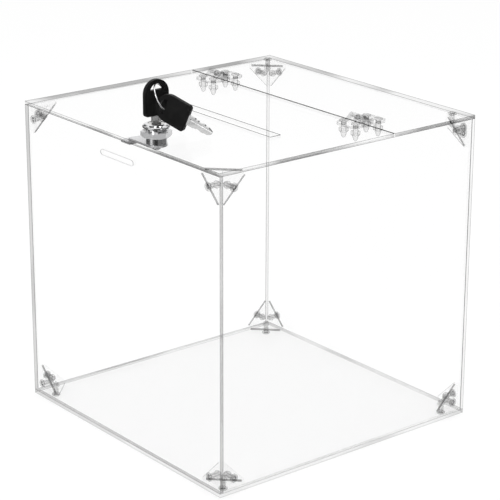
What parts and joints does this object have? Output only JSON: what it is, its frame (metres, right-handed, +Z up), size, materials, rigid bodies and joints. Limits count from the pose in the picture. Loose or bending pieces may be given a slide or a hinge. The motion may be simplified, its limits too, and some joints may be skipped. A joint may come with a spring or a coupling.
{
  "type": "donation box",
  "caption": "Clear acrylic donation box with a slotted hinged lid, corner brackets, push rivets, a cam lock and keys on a ring.",
  "frame": {"origin": "middle of the box's footprint, on the surface that its floor rivets stand on", "axes": "+Z up, -Y to the front with the lock, +X to the right as seen from the front"},
  "size_m": [0.253, 0.253, 0.2884],
  "materials": {
    "clear_acrylic": "clear polished sheet with bright cut edges",
    "clear_bracket": "clear moulded",
    "clear_rivet": "clear moulded",
    "clear_hinge": "clear moulded",
    "chrome": "bright plated",
    "zinc_nut": "bright zinc plated",
    "nickel_plug": "satin plated",
    "brass": "plain stamped",
    "cam_steel": "satin zinc plated",
    "key_nickel": "satin nickel",
    "black_plastic": "satin moulded",
    "ring_wire": "bright wire"
  },
  "bodies": {
    "box": {"floor_panel": "clear_acrylic", "front_panel": "clear_acrylic", "back_panel": "clear_acrylic", "left_panel": "clear_acrylic", "right_panel": "clear_acrylic", "rear_top_panel": "clear_acrylic", "bracket_floor_front_left": "clear_bracket", "bracket_floor_front_right": "clear_bracket", "bracket_floor_back_left": "clear_bracket", "bracket_floor_back_right": "clear_bracket", "bracket_top_front_left": "clear_bracket", "bracket_top_front_right": "clear_bracket", "bracket_top_back_left": "clear_bracket", "bracket_top_back_right": "clear_bracket", "floor_rivets": "clear_rivet", "floor_rivet_pins": "clear_rivet", "front_rivets": "clear_rivet", "front_rivet_pins": "clear_rivet", "back_rivets": "clear_rivet", "back_rivet_pins": "clear_rivet", "left_rivets": "clear_rivet", "left_rivet_pins": "clear_rivet", "right_rivets": "clear_rivet", "right_rivet_pins": "clear_rivet", "rear_top_rivets": "clear_rivet", "rear_top_rivet_pins": "clear_rivet", "hinge_rear_leaf_left": "clear_hinge", "hinge_rear_leaf_right": "clear_hinge", "hinge_pin_left": "clear_hinge", "hinge_pin_right": "clear_hinge", "rear_hinge_rivets": "clear_rivet", "rear_hinge_collars": "clear_rivet"},
    "lid": {"lid_panel": "clear_acrylic", "hinge_front_leaf_left": "clear_hinge", "hinge_front_leaf_right": "clear_hinge", "lid_hinge_rivets": "clear_rivet", "lid_hinge_collars": "clear_rivet", "lock_body": "chrome", "lock_nut": "zinc_nut"},
    "plug": {"lock_plug": "nickel_plug", "lock_wafers": "brass", "stop_washer": "cam_steel", "lock_cam": "cam_steel", "cam_washer": "cam_steel", "cam_screw": "cam_steel"},
    "key": {"key_blade": "key_nickel", "key_bow": "black_plastic"},
    "ring": {"key_ring": "ring_wire"},
    "spare_key": {"spare_key_blade": "key_nickel", "spare_key_bow": "black_plastic"}
  },
  "joints": [
    {"name": "lid_hinge", "type": "hinge", "parent": "box", "child": "lid", "pos_m": [0, 0.0405, 0.2553], "axis": [-1, 0, 0], "range_deg": [0, 150]},
    {"name": "lock_turn", "type": "hinge", "parent": "lid", "child": "plug", "pos_m": [0, -0.088, 0.2515], "axis": [0, 0, 1], "range_deg": [0, 90]},
    {"name": "key_slide", "type": "slide", "parent": "plug", "child": "key", "axis": [0, 0, 1], "range_m": [0, 0.018]},
    {"name": "ring_swing", "type": "hinge", "parent": "key", "child": "ring", "pos_m": [0, -0.08866, 0.28428], "axis": [0.6489, -0.7554, -0.0908], "range_deg": [0, 25]},
    {"name": "spare_key_swing", "type": "hinge", "parent": "ring", "child": "spare_key", "pos_m": [0.01162, -0.09006, 0.268], "axis": [0.4079, -0.913, 0.0065], "range_deg": [0, 25]}
  ]
}
